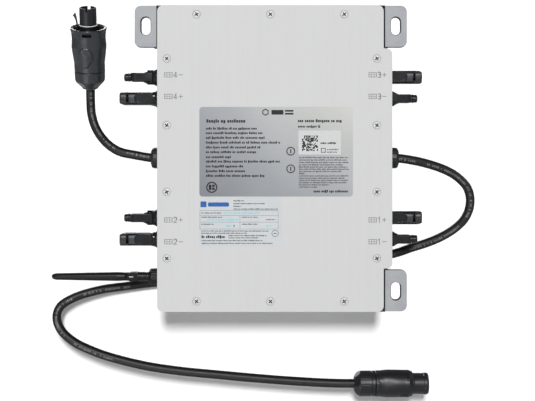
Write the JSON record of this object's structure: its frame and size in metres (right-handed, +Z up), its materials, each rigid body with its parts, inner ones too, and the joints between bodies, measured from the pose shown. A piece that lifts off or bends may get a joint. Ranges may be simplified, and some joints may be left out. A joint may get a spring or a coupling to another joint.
{
  "type": "micro-inverter",
  "caption": "Flat potted solar micro-inverter: brushed cover, hanging ears, side panel connectors, two black AC leads with trunk connectors and a swivel antenna.",
  "frame": {"origin": "centre of the square land in the middle of the rear face, in the plane of the fin tips", "axes": "+Z up as the unit hangs, -Y out of the cover plate, +Y out of the rear land, +X to the right when facing the cover"},
  "size_m": [0.4264, 0.0629, 0.3907],
  "materials": {
    "housing_alloy": "die-cast, lightly blasted",
    "cover_alloy": "fine vertical brushing under clear anodising",
    "seal_rubber": "matt silicone",
    "screw_steel": "satin stainless",
    "ear_steel": "satin pressed steel",
    "connector_black": "fine spark-eroded texture",
    "gland_black": "satin moulded",
    "lead_sheath": "extruded sheath, slightly glossy",
    "trunk_connector_black": "satin moulded, blue-black",
    "antenna_black": "satin",
    "label_silver": "printed silver film",
    "label_white": "printed white film",
    "board_green": "solder mask",
    "ferrite": "sintered ferrite with taped winding",
    "copper_winding": "enamelled copper wire on a powder core",
    "relay_case": "moulded",
    "capacitor_sleeve": "shrink sleeve",
    "radio_shield": "tinned can"
  },
  "bodies": {
    "cabinet": {"housing": "housing_alloy", "cover_gasket": "seal_rubber", "cover_plate": "cover_alloy", "cover_screw_01": "screw_steel", "cover_screw_02": "screw_steel", "cover_screw_03": "screw_steel", "cover_screw_04": "screw_steel", "cover_screw_05": "screw_steel", "cover_screw_06": "screw_steel", "cover_screw_07": "screw_steel", "cover_screw_08": "screw_steel", "cover_screw_09": "screw_steel", "cover_screw_10": "screw_steel", "cover_screw_11": "screw_steel", "cover_screw_12": "screw_steel", "cover_screw_13": "screw_steel", "cover_screw_14": "screw_steel", "mounting_ear_top_left": "ear_steel", "mounting_ear_top_right": "ear_steel", "mounting_ear_bottom_right": "ear_steel", "pv_hood_left_2": "connector_black", "pv_hood_left_4": "connector_black", "pv_hood_right_1": "connector_black", "pv_hood_right_3": "connector_black", "pv_nose_left_1": "connector_black", "pv_nose_left_3": "connector_black", "pv_nose_right_2": "connector_black", "pv_nose_right_4": "connector_black", "ac_gland_left": "gland_black", "ac_gland_right": "gland_black", "ac_lead_short": "lead_sheath", "ac_lead_long": "lead_sheath", "ac_socket_nut": "trunk_connector_black", "ac_socket_shell": "trunk_connector_black", "ac_socket_insert": "trunk_connector_black", "ac_plug_nut": "trunk_connector_black", "ac_plug_shell": "trunk_connector_black", "ac_plug_insert": "trunk_connector_black", "antenna_jack": "antenna_black", "rating_label": "label_silver", "energy_label": "label_white", "main_circuit_board": "board_green", "transformer_left_upper": "ferrite", "transformer_right_upper": "ferrite", "transformer_left_lower": "ferrite", "transformer_right_lower": "ferrite", "output_choke": "copper_winding", "grid_relay": "relay_case", "bulk_capacitor": "capacitor_sleeve", "radio_module": "radio_shield"},
    "antenna_collar": {"antenna_base": "antenna_black"},
    "antenna_rod": {"antenna_whip": "antenna_black"},
    "catch_front_left_1": {"catch_front_left_1": "connector_black"},
    "catch_back_left_1": {"catch_back_left_1": "connector_black"},
    "catch_front_left_3": {"catch_front_left_3": "connector_black"},
    "catch_back_left_3": {"catch_back_left_3": "connector_black"},
    "catch_front_right_2": {"catch_front_right_2": "connector_black"},
    "catch_back_right_2": {"catch_back_right_2": "connector_black"},
    "catch_front_right_4": {"catch_front_right_4": "connector_black"},
    "catch_back_right_4": {"catch_back_right_4": "connector_black"}
  },
  "joints": [
    {"name": "antenna_swivel", "type": "hinge", "parent": "cabinet", "child": "antenna_collar", "pos_m": [-0.1204, -0.025, -0.1172], "axis": [1, 0, 0], "range_deg": [-150, 40]},
    {"name": "antenna_tilt", "type": "hinge", "parent": "antenna_collar", "child": "antenna_rod", "pos_m": [-0.1384, -0.025, -0.1172], "axis": [0, -1, 0], "range_deg": [0, 90]},
    {"name": "press_front_left_1", "type": "hinge", "parent": "cabinet", "child": "catch_front_left_1", "pos_m": [-0.1174, -0.03155, 0.0806], "axis": [0, 0, -1], "range_deg": [0, 3.5], "stiffness_Nm_per_rad": 0.6},
    {"name": "press_back_left_1", "type": "hinge", "parent": "cabinet", "child": "catch_back_left_1", "pos_m": [-0.1174, -0.01845, 0.0806], "axis": [0, 0, 1], "range_deg": [0, 3.5], "stiffness_Nm_per_rad": 0.6},
    {"name": "press_front_left_3", "type": "hinge", "parent": "cabinet", "child": "catch_front_left_3", "pos_m": [-0.1174, -0.03155, -0.0588], "axis": [0, 0, -1], "range_deg": [0, 3.5], "stiffness_Nm_per_rad": 0.6},
    {"name": "press_back_left_3", "type": "hinge", "parent": "cabinet", "child": "catch_back_left_3", "pos_m": [-0.1174, -0.01845, -0.0588], "axis": [0, 0, 1], "range_deg": [0, 3.5], "stiffness_Nm_per_rad": 0.6},
    {"name": "press_front_right_2", "type": "hinge", "parent": "cabinet", "child": "catch_front_right_2", "pos_m": [0.1174, -0.03155, 0.0594], "axis": [0, 0, 1], "range_deg": [0, 3.5], "stiffness_Nm_per_rad": 0.6},
    {"name": "press_back_right_2", "type": "hinge", "parent": "cabinet", "child": "catch_back_right_2", "pos_m": [0.1174, -0.01845, 0.0594], "axis": [0, 0, -1], "range_deg": [0, 3.5], "stiffness_Nm_per_rad": 0.6},
    {"name": "press_front_right_4", "type": "hinge", "parent": "cabinet", "child": "catch_front_right_4", "pos_m": [0.1174, -0.03155, -0.08], "axis": [0, 0, 1], "range_deg": [0, 3.5], "stiffness_Nm_per_rad": 0.6},
    {"name": "press_back_right_4", "type": "hinge", "parent": "cabinet", "child": "catch_back_right_4", "pos_m": [0.1174, -0.01845, -0.08], "axis": [0, 0, -1], "range_deg": [0, 3.5], "stiffness_Nm_per_rad": 0.6}
  ],
  "couplings": [
    {"joint": "press_back_left_1", "follows": "press_front_left_1", "ratio": 1},
    {"joint": "press_back_left_3", "follows": "press_front_left_3", "ratio": 1},
    {"joint": "press_back_right_2", "follows": "press_front_right_2", "ratio": 1},
    {"joint": "press_back_right_4", "follows": "press_front_right_4", "ratio": 1}
  ]
}
